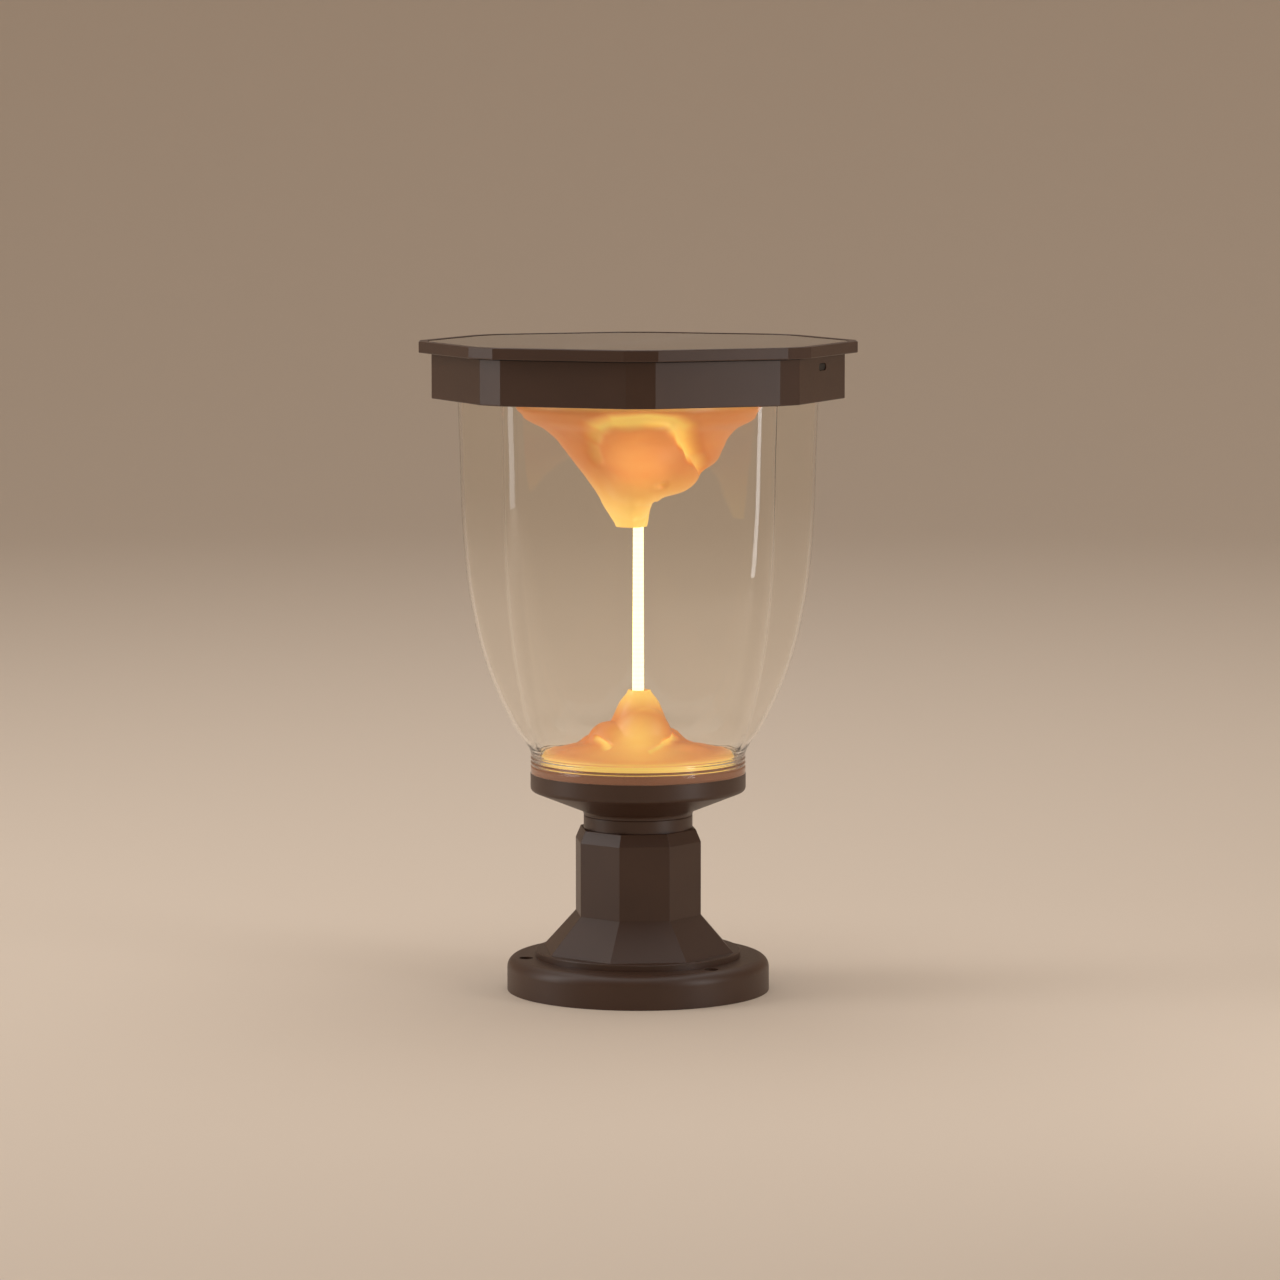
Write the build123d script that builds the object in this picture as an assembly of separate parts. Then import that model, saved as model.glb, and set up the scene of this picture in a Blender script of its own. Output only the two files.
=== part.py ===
from build123d import *
import math
import os

# Solar gate light. Millimetres, +Z up, origin on the ground at the middle of the base.
# One corner of the eight-sided head faces -Y.

# Shared fits
fit = 0.15                       # flat locating fits and seats
screw_fit = 0.05                 # round a screw or a ferrule in its hole
sides = 8
side_angle = 360 / sides
corner_factor = math.cos(math.radians(side_angle / 2))

# Base casting
base_radius = 60.5
flange_height = 15.5
flange_edge_round = 5.0
casting_edge_round = 0.5         # outside edges of the castings
step_inset = 13.2                # flange's edge to the step
step_height = 3.1
taper_inset = 1.8                # step's edge to the corners of the taper
taper_height = 16.9
base_wall = 4.5
base_web = 6.0                   # plate under the column
column_turn = 28.0               # turn of the eight-sided post about Z
mount_hole_inset = 8.2           # flange's edge to a hole's middle
mount_hole_radius = 3.25
mount_hole_count = 3
mount_hole_turn = 68.8
mount_boss_wall = 4.0

# Column
column_radius = 30.1             # corner radius
column_height = 34.1
column_wall = 4.0
shoulder_height = 5.7
shoulder_ledge = 0.4             # flat left round the neck
neck_inset = 2.7                 # post's flats to the neck
neck_height = 6.0
neck_edge_round = 0.6
spigot_height = 3.0              # base into column, tray into neck
hub_spigot_radius = 14.0

# Tray
tray_radius = 49.6
tray_height = 19.6
tray_rim_height = 8.0
tray_neck_height = 1.7
tray_cove = 2.4
tray_edge_round = 2.0
tray_pocket_radius = 36.0
tray_pocket_wall = 4.0           # straight part of the pocket
tray_pocket_draft = 12.0         # how far the pocket narrows towards its floor
tray_pocket_round = 4.0
tray_floor = 5.0
foot_gasket_width = 3.5
foot_gasket_height = 1.2

# Tie rod
rod_radius = 4.0
rod_hole_fit = 0.3
rod_end = 2.0                    # thread that stands past each nut
nut_sides = 6
nut_across_flats = 13.0
nut_height = 6.5
washer_radius = 10.0
washer_height = 1.6

# Clear bowl
bowl_wall = 3.0
bowl_height = 172.4              # foot to the underside of the head
bowl_flange_lip = 2.2            # flange past the rounded corners
bowl_upper_inset = 1.9           # how far the corners draw in below the head
bowl_middle_inset = 6.3
bowl_lower_inset = 16.0
bowl_foot_inset = 0.1            # tray's rim to the neck
bowl_top_flat = 4.2              # depth of the flats behind the corners
bowl_upper_flat = 4.1
bowl_middle_flat = 3.6
bowl_lower_flat = 2.3
bowl_flat_fade = 2.0             # flats run out this far outside the neck
bowl_upper_drop = 58.0           # below the head
bowl_middle_drop = 98.0
bowl_lower_drop = 132.0
bowl_neck_height = 9.6
bowl_lip_height = 3.0
bowl_lip_radius = 30.0
bowl_flange_height = 2.2
bowl_flange_gap = 0.4            # to the screw bosses
bowl_head_fit = 0.5
neck_groove_count = 3
neck_groove_depth = 0.6
neck_groove_height = 0.9
neck_groove_pitch = 2.1

# Mound and its clamp plate
clamp_inset = 3.2                # mound's edge to the plate's
clamp_height = 1.6
mound_gap = 1.3                  # to the bowl's wall
mound_disc_height = 3.6
mound_skirt_radius = 37.0
mound_skirt_rise = 3.2
mound_shoulder_radius = 22.0
mound_shoulder_rise = 7.6
mound_waist_radius = 13.2
mound_waist_rise = 17.0
mound_tip_radius = 5.0
mound_rise = 30.2                # above the disc
mound_peak_offset = 0.7          # along X
mound_front_lump_radii = (12.0, 10.0, 13.0)
mound_front_lump_place = (4.0, -9.0)
mound_front_lump_rise = 10.9
mound_left_lump_radii = (11.0, 11.0, 8.5)
mound_left_lump_place = (-14.0, -6.0)
mound_left_lump_rise = 6.0
mound_right_lump_radii = (11.0, 8.0, 5.5)
mound_right_lump_place = (19.0, -8.0)
mound_right_lump_rise = 4.5
mound_pocket_radius = 10.0
mound_pocket_gap = 2.0           # over the end of the rod
mound_screw_circle = 44.0
mound_screw_count = 3
mound_screw_length = 8.0

# Filament
filament_radius = 2.75
filament_bore = 2.1
strip_width = 2.4
strip_thickness = 1.2
socket_wall = 0.6
socket_depth = 11.0
socket_end = 3.0                 # closed end of a socket

# Drip
drip_radius = 57.3
drip_length = 55.5               # below its disc
drip_disc_height = 3.5
drip_upper_radius = 44.0
drip_upper_drop = 12.0
drip_upper_offset = 1.8          # along X
drip_middle_radius = 33.2
drip_middle_drop = 25.0
drip_lower_radius = 20.6
drip_lower_drop = 38.0
drip_tip_radius = 7.0
drip_tip_offset = -2.6
drip_front_lobe_radii = (19.0, 20.0, 11.5)
drip_front_lobe_place = (3.0, -26.0)
drip_front_lobe_drop = 19.0
drip_lower_lobe_radii = (18.0, 20.0, 12.0)
drip_lower_lobe_place = (11.0, -12.0)
drip_lower_lobe_drop = 29.0
drip_recess_radii = (32.0, 13.0, 7.0)
drip_recess_place = (9.0, -56.5)
drip_recess_drop = 2.0
drip_back_lobe_radii = (17.0, 14.0, 13.0)
drip_back_lobe_place = (-12.0, 15.0)
drip_back_lobe_drop = 26.0
drip_wall = 6.0
drip_screw_turns = (0.0, 180.0, 236.0)  # clear of the cells and of the recess
drip_screw_length = 7.6

# Lid and head
lid_across_corners = 200.0
lid_corner_facet = 15.2
lid_height = 5.2
lid_overhang = 5.8
lid_rim = 4.2                    # frame round the pane
lid_plate = 1.2
lid_skirt_height = 2.0
lid_skirt_wall = 2.0
pane_recess = 0.2
pane_height = 1.6
pane_fit = 0.3
panel_height = 1.0
head_wall = 2.5
head_skirt = 2.0                 # wall below the floor
head_floor = 2.0
lid_gasket_height = 0.6
lid_gasket_margin = 0.3
rim_gasket_height = 0.8

# Lamp deck
deck_thickness = 1.6
pan_gap = 3.3                    # to the bowl's flats
pan_drop = 0.2                   # pan floor above the head's lower edge
post_radius = 3.2                # screw bosses and posts in the corners
post_gap = 0.2                   # boss to the inside of a corner facet
post_floor = 0.5                 # depth of a blind hole into the head's floor

# Screws
screw_radius = 1.5
screw_head_radius = 2.75
screw_head_height = 1.7
screw_drive_sides = 6
deck_screw_length = 4.6
lid_screw_length = 14.0
lid_screw_spare = 1.2            # hole left past the screw's end
board_screw_radius = 1.0
board_screw_head_radius = 1.9
board_screw_head_height = 1.2
board_screw_length = 4.0

# Electrics
board_thickness = 1.6
led_board_gap = 5.2              # to the drip's hollow
led_inset = 12.0                 # board's edge to the ring of chips
led_count = 12
led_size = 3.0
led_height = 0.9
lead_radius = 0.6
lead_spacing = 2.6
lead_hole_radius = 4.0
battery_radius = 9.2
battery_length = 65.0
battery_gap = 1.0                # between the cells
battery_count = 2
battery_headroom = 1.15          # under the lid's plate
cradle_floor = 0.5
cradle_depth = 8.0
cradle_edge = 2.0
cradle_end = 2.4
cradle_gap = 1.6                 # to the controller board
tab_thickness = 0.3
tab_width = 8.0
controller_length = 56.0
controller_width = 40.0
controller_offset = 15.0         # board's middle in front of the axis
controller_post_height = 4.0
controller_post_radius = 2.4
controller_post_inset = 4.0
coil_radius = 5.0
coil_height = 5.0
coil_place = (-16.0, -8.0)       # on the board, from its middle
capacitor_radius = 3.2
capacitor_height = 7.5
capacitor_place = (14.0, -10.0)
chip_length = 6.0
chip_width = 5.0
chip_height = 1.5
chip_place = (0.0, -9.0)
connector_length = 8.0
connector_width = 5.0
connector_height = 6.0
connector_place = (0.0, 3.0)

# Power button, in the wall that faces half a corner step in front of +X
button_length = 9.2
button_height = 2.8
button_gap = 0.25
button_recess = 0.4
button_skirt_gap = 0.6           # retaining edge to the lid's skirt
button_edge = 1.2                # retaining edge all round, behind the wall
button_edge_depth = 1.0
button_travel = 0.6
button_overrun = 0.1
button_stem_radius = 1.0
button_stem_length = 1.0
switch_size = 6.0
switch_depth = 3.4
switch_plunger_radius = 1.6
switch_plunger_length = 0.8
switch_board_length = 18.0
switch_board_height = 9.0
switch_board_thickness = 1.2
rail_width = 2.0
rail_lap = 1.2                   # rail over the end of the board
rail_back = 1.0                  # rail behind the board

# Solar cells
solar_columns = 6
solar_gap = 1.2
solar_margin = 5.0
solar_thickness = 0.25

# Heights, from the ground up
step_top = flange_height + step_height
base_top = step_top + taper_height
web_bottom = base_top - base_web
shoulder_bottom = base_top + column_height
neck_bottom = shoulder_bottom + shoulder_height
neck_top = neck_bottom + neck_height
tray_top = neck_top + tray_height
lip_top = tray_top + bowl_lip_height
bowl_neck_top = tray_top + bowl_neck_height
clamp_top = lip_top + clamp_height
mound_disc_top = clamp_top + mound_disc_height
mound_top = mound_disc_top + mound_rise
mound_pocket_height = nut_height + rod_end + mound_pocket_gap
head_bottom = tray_top + bowl_height
floor_bottom = head_bottom + head_skirt
floor_top = floor_bottom + head_floor
flange_bottom = floor_top + rim_gasket_height
flange_top = flange_bottom + bowl_flange_height
deck_top = flange_top + deck_thickness
pan_bottom = head_bottom + pan_drop
pan_top = pan_bottom + deck_thickness
led_board_bottom = pan_bottom - board_thickness
drip_disc_bottom = pan_bottom - drip_disc_height
drip_lower = drip_disc_bottom - drip_lower_drop
drip_tip = drip_disc_bottom - drip_length
controller_bottom = pan_top + controller_post_height
controller_top = controller_bottom + board_thickness
battery_middle = pan_top + cradle_floor + battery_radius
plate_bottom = battery_middle + battery_radius + battery_headroom
panel_bottom = plate_bottom + lid_plate
solar_bottom = panel_bottom + panel_height
pane_bottom = solar_bottom + solar_thickness
lid_top = pane_bottom + pane_height + pane_recess
head_top = lid_top - lid_height
wall_top = head_top - lid_gasket_height
lid_post_bottom = deck_top + fit
button_middle = head_top - lid_skirt_height - button_skirt_gap - button_edge - button_height / 2
rail_bottom = deck_top + fit
rail_top = head_top - lid_skirt_height - fit
socket_bottom = mound_top - socket_depth
filament_bottom = socket_bottom + socket_end
filament_top = drip_tip + socket_depth - socket_end

# Plan sizes
step_radius = base_radius - step_inset
taper_foot_radius = step_radius - taper_inset
mount_hole_circle = 2 * (base_radius - mount_hole_inset)
column_side = column_radius * corner_factor
column_bore = column_side - column_wall
neck_radius = column_side - neck_inset
lid_corner = lid_across_corners / 2
lid_corner_turn = math.atan2(lid_corner_facet, lid_across_corners)
lid_point = math.hypot(lid_corner, lid_corner_facet / 2)
lid_side = lid_point * math.cos(math.radians(side_angle / 2) - lid_corner_turn)
head_side = lid_side - lid_overhang
wall_inset = lid_overhang + head_wall
post_circle = 2 * (lid_corner - wall_inset - post_gap - post_radius)
bowl_flange_radius = post_circle / 2 - post_radius - bowl_flange_gap
bowl_top_radius = bowl_flange_radius - bowl_flange_lip
bowl_flat_top = bowl_top_radius - bowl_top_flat
bowl_neck_radius = tray_radius - bowl_foot_inset
pan_radius = bowl_flat_top - bowl_wall - pan_gap
mound_radius = bowl_neck_radius - bowl_wall - mound_gap
clamp_radius = mound_radius - clamp_inset
drip_hollow_radius = drip_upper_radius - drip_wall
drip_screw_circle = drip_radius + drip_hollow_radius
led_board_radius = drip_hollow_radius - led_board_gap
led_circle = 2 * (led_board_radius - led_inset)
battery_spacing = 2 * battery_radius + battery_gap
cradle_width = (battery_count - 1) * battery_spacing + 2 * (battery_radius + cradle_edge)
battery_offset = controller_width / 2 - controller_offset + cradle_gap + cradle_width / 2
rod_hole = rod_radius + rod_hole_fit
screw_hole = screw_radius + screw_fit
socket_radius = filament_radius + screw_fit + socket_wall

# Depths behind the wall's outer face, along the button's axis
button_back = head_wall + button_edge_depth
plunger_tip = button_back + button_stem_length + button_travel + button_overrun
switch_front = plunger_tip + switch_plunger_length
switch_board_front = switch_front + switch_depth
rail_depth = switch_board_front + switch_board_thickness + rail_back

on_floor = (Align.CENTER, Align.CENTER, Align.MIN)


def disc(radius, bottom, height):
    return Pos(0, 0, bottom) * Cylinder(radius, height, align=on_floor)


def ring(outer_radius, inner_radius, bottom, height):
    return disc(outer_radius, bottom, height) - disc(inner_radius, bottom, height)


def block(length, width, height, place):
    return Pos(*place) * Box(length, width, height, align=on_floor)


def upright(sketch, bottom, height):
    return extrude(Pos(0, 0, bottom) * sketch, height)


def around(count, circle, turn, piece):
    return [spot * piece for spot in PolarLocations(circle / 2, count, turn)]


def flat_sided(side_distance):
    return RegularPolygon(side_distance, sides, major_radius=False, rotation=column_turn)


def corner_sided(corner_radius, height):
    return Pos(0, 0, height) * RegularPolygon(corner_radius, sides, rotation=column_turn)


def head_outline(inset):
    walls = RegularPolygon(lid_side - inset, sides, major_radius=False)
    facets = RegularPolygon(lid_corner - inset, sides, major_radius=False, rotation=side_angle / 2)
    return walls & facets


def circles_lofted(rows):
    return loft([Pos(offset, 0, height) * Circle(radius) for height, radius, offset in rows])


def lump(radii, place, height):
    return Pos(*place, height) * scale(Sphere(1), by=radii)


def screw(radius, length, head_radius, head_height):
    drive = RegularPolygon(head_radius / 2, screw_drive_sides)
    head = disc(head_radius, 0, head_height) - upright(drive, head_height / 2, head_height)
    return head + disc(radius, -length, length)


def machine_screw(length):
    return screw(screw_radius, length, screw_head_radius, screw_head_height)


def base_casting():
    flange = disc(base_radius, 0, flange_height)
    flange = fillet(flange.edges().group_by(Axis.Z)[-1], flange_edge_round)
    step = disc(step_radius, flange_height, step_height)
    step = fillet(step.edges().group_by(Axis.Z)[-1], casting_edge_round)
    taper = loft([corner_sided(taper_foot_radius, step_top), corner_sided(column_radius, base_top)])
    taper = fillet(taper.edges().group_by(Axis.Z)[1], casting_edge_round)
    spigot = upright(flat_sided(column_bore - fit), base_top, spigot_height)
    underside = flange_height - base_wall
    boss = disc(mount_hole_radius + mount_boss_wall, 0, underside)
    hollow = disc(base_radius - base_wall, 0, underside)
    hollow = hollow - around(mount_hole_count, mount_hole_circle, mount_hole_turn, boss)
    taper_hollow_foot = corner_sided(taper_foot_radius - base_wall, underside)
    taper_hollow_head = corner_sided(column_radius - base_wall, web_bottom)
    hollow = hollow + loft([taper_hollow_foot, taper_hollow_head])
    hole = disc(mount_hole_radius, 0, flange_height)
    body = flange + step + taper + spigot - hollow
    body = body - around(mount_hole_count, mount_hole_circle, mount_hole_turn, hole)
    return body - disc(rod_hole, web_bottom, base_web + spigot_height)


def column():
    post = upright(flat_sided(column_side), base_top, column_height)
    shoulder_head_radius = (neck_radius + shoulder_ledge) / corner_factor
    shoulder_foot = corner_sided(column_radius, shoulder_bottom)
    shoulder = loft([shoulder_foot, corner_sided(shoulder_head_radius, neck_bottom)])
    outside = post + shoulder
    outside = fillet(outside.edges() - outside.edges().group_by(Axis.Z)[0], casting_edge_round)
    neck = disc(neck_radius, neck_bottom, neck_height)
    neck = fillet(neck.edges().group_by(Axis.Z)[-1], neck_edge_round)
    bore = upright(flat_sided(column_bore), base_top, column_height)
    recess = disc(hub_spigot_radius + fit, neck_top - spigot_height, spigot_height)
    rod_way = disc(rod_hole, shoulder_bottom, shoulder_height + neck_height)
    return outside + neck - bore - recess - rod_way


def tray():
    points = [
        (rod_hole, neck_top - spigot_height),
        (hub_spigot_radius, neck_top - spigot_height),
        (hub_spigot_radius, neck_top),
        (neck_radius, neck_top),
        (neck_radius, neck_top + tray_neck_height),
        (tray_radius, tray_top - tray_rim_height),
        (tray_radius, tray_top),
        (tray_pocket_radius, tray_top),
        (tray_pocket_radius, tray_top - tray_pocket_wall),
        (tray_pocket_radius - tray_pocket_draft, neck_top + tray_floor),
        (rod_hole, neck_top + tray_floor),
    ]
    rounds = [0, 0, 0, 0, tray_cove, tray_edge_round, 0, 0, 0, tray_pocket_round, 0]
    section = make_face(FilletPolyline(*points, radius=rounds, close=True))
    return revolve(Plane.XZ * section, Axis.Z) - bowl_foot_gasket()


def bowl_foot_gasket():
    outer = (tray_pocket_radius + tray_radius + foot_gasket_width) / 2
    return ring(outer, outer - foot_gasket_width, tray_top - foot_gasket_height, foot_gasket_height)


def tie_rod():
    bottom = web_bottom - washer_height - nut_height - rod_end
    return disc(rod_radius, bottom, clamp_top + nut_height + rod_end - bottom)


def tie_nuts():
    outline = RegularPolygon(nut_across_flats / 2, nut_sides, major_radius=False)
    nut = upright(outline, 0, nut_height) - disc(rod_radius + screw_fit, 0, nut_height)
    return [Pos(0, 0, web_bottom - washer_height - nut_height) * nut, Pos(0, 0, clamp_top) * nut]


def tie_washer():
    return ring(washer_radius, rod_hole, web_bottom - washer_height, washer_height)


def bowl_section(radii, shrink, bottom, top):
    heights = (
        head_bottom,
        head_bottom - bowl_upper_drop,
        head_bottom - bowl_middle_drop,
        head_bottom - bowl_lower_drop,
        bowl_neck_top,
    )
    curve = Spline(*[(radius - shrink, height) for radius, height in zip(radii, heights)])
    head = (radii[0] - shrink, top)
    foot = (radii[-1] - shrink, bottom)
    ends = Polyline(curve @ 1, foot, (0, bottom), (0, top), head, curve @ 0)
    return Plane.XZ * make_face(curve + ends)


def bowl_form(shrink, bottom, top):
    corner_radii = (
        bowl_top_radius,
        bowl_top_radius - bowl_upper_inset,
        bowl_top_radius - bowl_middle_inset,
        bowl_top_radius - bowl_lower_inset,
        bowl_neck_radius,
    )
    flat_depths = (bowl_top_flat, bowl_upper_flat, bowl_middle_flat, bowl_lower_flat, -bowl_flat_fade)
    flat_radii = [radius - depth for radius, depth in zip(corner_radii, flat_depths)]
    form = revolve(bowl_section(corner_radii, shrink, bottom, top), Axis.Z)
    half = extrude(bowl_section(flat_radii, shrink, bottom, top), lid_corner, both=True)
    slab = half + mirror(half, Plane.YZ)
    for step in range(sides // 2):
        form = form & Rot(0, 0, side_angle * (step + 1 / 2)) * slab
    return form


def clear_bowl():
    flange = disc(bowl_flange_radius, flange_bottom, bowl_flange_height)
    lip_hole = disc(bowl_lip_radius, tray_top, bowl_lip_height)
    body = bowl_form(0, tray_top, flange_top) + flange
    body = body - bowl_form(bowl_wall, lip_top, flange_top) - lip_hole
    groove_floor = bowl_neck_radius - neck_groove_depth
    for step in range(neck_groove_count):
        bottom = bowl_neck_top - (step + 1) * neck_groove_pitch
        body = body - ring(bowl_top_radius, groove_floor, bottom, neck_groove_height)
    return body


def clamp_plate():
    plate = ring(clamp_radius, rod_hole, lip_top, clamp_height)
    hole = disc(screw_hole, lip_top, clamp_height)
    return plate - around(mound_screw_count, mound_screw_circle, 0, hole)


def mound():
    foot = disc(mound_radius, clamp_top, mound_disc_height)
    peak = circles_lofted([
        (mound_disc_top, mound_radius, 0),
        (mound_disc_top + mound_skirt_rise, mound_skirt_radius, 0),
        (mound_disc_top + mound_shoulder_rise, mound_shoulder_radius, 0),
        (mound_disc_top + mound_waist_rise, mound_waist_radius, mound_peak_offset),
        (mound_top, mound_tip_radius, mound_peak_offset),
    ])
    hole = disc(screw_hole, clamp_top, mound_screw_length)
    front = lump(mound_front_lump_radii, mound_front_lump_place, mound_disc_top + mound_front_lump_rise)
    left = lump(mound_left_lump_radii, mound_left_lump_place, mound_disc_top + mound_left_lump_rise)
    right = lump(mound_right_lump_radii, mound_right_lump_place, mound_disc_top + mound_right_lump_rise)
    body = foot + peak + front + left + right
    body = body - disc(mound_pocket_radius, clamp_top, mound_pocket_height)
    body = body - around(mound_screw_count, mound_screw_circle, 0, hole)
    return body - disc(socket_radius + screw_fit, socket_bottom, socket_depth)


def mound_screws():
    upturned = Pos(0, 0, lip_top) * Rot(180, 0, 0) * machine_screw(mound_screw_length)
    return around(mound_screw_count, mound_screw_circle, 0, upturned)


def lower_socket():
    bore = disc(filament_radius + screw_fit, filament_bottom, mound_top - filament_bottom)
    return disc(socket_radius, socket_bottom, socket_depth) - bore


def upper_socket():
    bore = disc(filament_radius + screw_fit, drip_tip, filament_top - drip_tip)
    return disc(socket_radius, drip_tip, socket_depth) - bore


def filament_tube():
    return ring(filament_radius, filament_bore, filament_bottom, filament_top - filament_bottom)


def filament_strip():
    length = filament_top - filament_bottom
    return block(strip_width, strip_thickness, length, (0, 0, filament_bottom))


def at_drip_screws(piece):
    return [Rot(0, 0, turn) * Pos(drip_screw_circle / 2, 0, 0) * piece for turn in drip_screw_turns]


def drip():
    upper = drip_disc_bottom - drip_upper_drop
    middle = drip_disc_bottom - drip_middle_drop
    funnel = circles_lofted([
        (drip_disc_bottom, drip_radius, 0),
        (upper, drip_upper_radius, drip_upper_offset),
        (middle, drip_middle_radius, 0),
        (drip_lower, drip_lower_radius, 0),
        (drip_tip, drip_tip_radius, drip_tip_offset),
    ])
    hollow = circles_lofted([
        (pan_bottom, drip_hollow_radius, 0),
        (upper, drip_hollow_radius - drip_wall, drip_upper_offset),
        (middle, drip_middle_radius - drip_wall, 0),
        (drip_lower, drip_lower_radius - drip_wall, 0),
    ])
    front = lump(drip_front_lobe_radii, drip_front_lobe_place, drip_disc_bottom - drip_front_lobe_drop)
    lower = lump(drip_lower_lobe_radii, drip_lower_lobe_place, drip_disc_bottom - drip_lower_lobe_drop)
    back = lump(drip_back_lobe_radii, drip_back_lobe_place, drip_disc_bottom - drip_back_lobe_drop)
    recess = lump(drip_recess_radii, drip_recess_place, drip_disc_bottom - drip_recess_drop)
    body = disc(drip_radius, drip_disc_bottom, drip_disc_height) + funnel - recess
    body = body + front + lower + back - hollow
    hole = disc(screw_hole, pan_bottom - drip_screw_length, drip_screw_length)
    body = body - at_drip_screws(hole)
    return body - disc(socket_radius + screw_fit, drip_tip, drip_lower - drip_tip)


def drip_screws():
    placed = Pos(0, 0, pan_top) * machine_screw(drip_screw_length)
    return at_drip_screws(placed)


def led_board():
    return ring(led_board_radius, lead_hole_radius, led_board_bottom, board_thickness)


def led_chips():
    chip = block(led_size, led_size, led_height, (0, 0, led_board_bottom - led_height))
    return around(led_count, led_circle, 0, chip)


def filament_leads():
    socket_top = drip_tip + socket_depth
    lead = disc(lead_radius, socket_top, controller_bottom - socket_top)
    return [Pos(side * lead_spacing / 2, 0, 0) * lead for side in (-1, 1)]


def controller_spots():
    length = controller_length - 2 * controller_post_inset
    width = controller_width - 2 * controller_post_inset
    return [Pos(0, -controller_offset, 0) * spot for spot in GridLocations(length, width, 2, 2)]


def lamp_deck():
    rim = upright(head_outline(wall_inset + fit), flange_top, deck_thickness)
    pan = disc(pan_radius, pan_bottom, flange_top - pan_bottom)
    body = rim + pan - disc(pan_radius - deck_thickness, pan_top, deck_top - pan_top)
    body = body - around(sides, post_circle, 0, disc(screw_hole, flange_top, deck_thickness))
    hole = disc(screw_hole, pan_bottom, deck_thickness)
    body = body - at_drip_screws(hole)
    post = ring(controller_post_radius, board_screw_radius + screw_fit, pan_top, controller_post_height)
    body = body + [spot * post for spot in controller_spots()]
    return body - disc(lead_hole_radius, pan_bottom, deck_thickness)


def deck_screws():
    placed = Pos(0, 0, deck_top) * machine_screw(deck_screw_length)
    return around(sides // 2, post_circle, 0, placed)


def bowl_opening(margin):
    flats = RegularPolygon(bowl_flat_top + margin, sides, major_radius=False)
    return flats & Circle(bowl_top_radius + margin)


def bowl_rim_gasket():
    outline = Circle(bowl_flange_radius) - bowl_opening(bowl_head_fit)
    return upright(outline, floor_top, rim_gasket_height)


def head_housing():
    body = upright(head_outline(lid_overhang), head_bottom, wall_top - head_bottom)
    body = fillet(body.edges() - body.edges().group_by(Axis.Z)[-1], casting_edge_round)
    body = body - upright(head_outline(wall_inset), floor_top, wall_top - floor_top)
    body = body - upright(head_outline(wall_inset), head_bottom, head_skirt)
    body = body - upright(bowl_opening(bowl_head_fit), floor_bottom, head_floor)
    boss = disc(post_radius, floor_top, flange_top - floor_top)
    blind = disc(screw_hole, floor_top - post_floor, flange_top - floor_top + post_floor)
    through = disc(screw_hole, floor_bottom, flange_top - floor_bottom)
    body = body + around(sides, post_circle, 0, boss)
    body = body - around(sides // 2, post_circle, 0, blind)
    body = body - around(sides // 2, post_circle, side_angle, through)
    button_hole = button_frame() * extrude(button_slot(button_gap), -head_wall)
    return body - button_hole + switch_rails()


def lid_frame():
    body = upright(head_outline(0), head_top, lid_height)
    body = fillet(body.edges(), casting_edge_round)
    body = body - upright(head_outline(lid_rim), panel_bottom, lid_top - panel_bottom)
    skirt_inset = wall_inset + fit
    under = upright(head_outline(skirt_inset + lid_skirt_wall), head_top, plate_bottom - head_top)
    skirt = head_outline(skirt_inset) - head_outline(skirt_inset + lid_skirt_wall)
    body = body - under + upright(skirt, head_top - lid_skirt_height, lid_skirt_height)
    post = disc(post_radius, lid_post_bottom, plate_bottom - lid_post_bottom)
    screw_end = floor_bottom + lid_screw_length + lid_screw_spare
    post = post - disc(screw_hole, lid_post_bottom, screw_end - lid_post_bottom)
    body = body + around(sides // 2, post_circle, side_angle, post)
    connector_x = connector_place[0]
    connector_y = connector_place[1] - controller_offset
    return body - Pos(connector_x, connector_y, 0) * disc(lead_hole_radius, plate_bottom, lid_plate)


def lid_gasket():
    outer = head_outline(lid_overhang + lid_gasket_margin)
    return upright(outer - head_outline(wall_inset), wall_top, lid_gasket_height)


def lid_screws():
    upturned = Pos(0, 0, floor_bottom) * Rot(180, 0, 0) * machine_screw(lid_screw_length)
    return around(sides // 2, post_circle, side_angle, upturned)


def panel_board():
    return upright(head_outline(lid_rim + pane_fit), panel_bottom, panel_height)


def solar_cells():
    field = head_outline(lid_rim + solar_margin)
    span = 2 * (lid_corner - lid_rim - solar_margin)
    pitch = (span + solar_gap) / solar_columns
    strip = Rectangle(pitch - solar_gap, span)
    spots = GridLocations(pitch, 0, solar_columns, 1)
    return [upright(field & spot * strip, solar_bottom, solar_thickness) for spot in spots]


def solar_glass():
    return upright(head_outline(lid_rim + pane_fit), pane_bottom, pane_height)


def battery_cells():
    cell = Rot(0, 90, 0) * Cylinder(battery_radius, battery_length)
    spots = GridLocations(0, battery_spacing, 1, battery_count)
    return [Pos(0, battery_offset, battery_middle) * spot * cell for spot in spots]


def battery_cradle():
    trough_length = battery_length + 2 * (tab_thickness + screw_fit)
    length = trough_length + 2 * cradle_end
    body = block(length, cradle_width, cradle_depth, (0, battery_offset, pan_top))
    trough = Rot(0, 90, 0) * Cylinder(battery_radius + screw_fit, trough_length)
    spots = GridLocations(0, battery_spacing, 1, battery_count)
    return body - [Pos(0, battery_offset, battery_middle) * spot * trough for spot in spots]


def cell_tabs():
    reach = (battery_length + tab_thickness) / 2
    length = (battery_count - 1) * battery_spacing + tab_width
    bottom = pan_top + cradle_depth + fit
    tab = block(tab_thickness, length, tab_width, (0, battery_offset, bottom))
    return [Pos(side * reach, 0, 0) * tab for side in (-1, 1)]


def controller_board():
    place = (0, -controller_offset, controller_bottom)
    board = block(controller_length, controller_width, board_thickness, place)
    hole = disc(board_screw_radius + screw_fit, controller_bottom, board_thickness)
    return board - [spot * hole for spot in controller_spots()]


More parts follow.
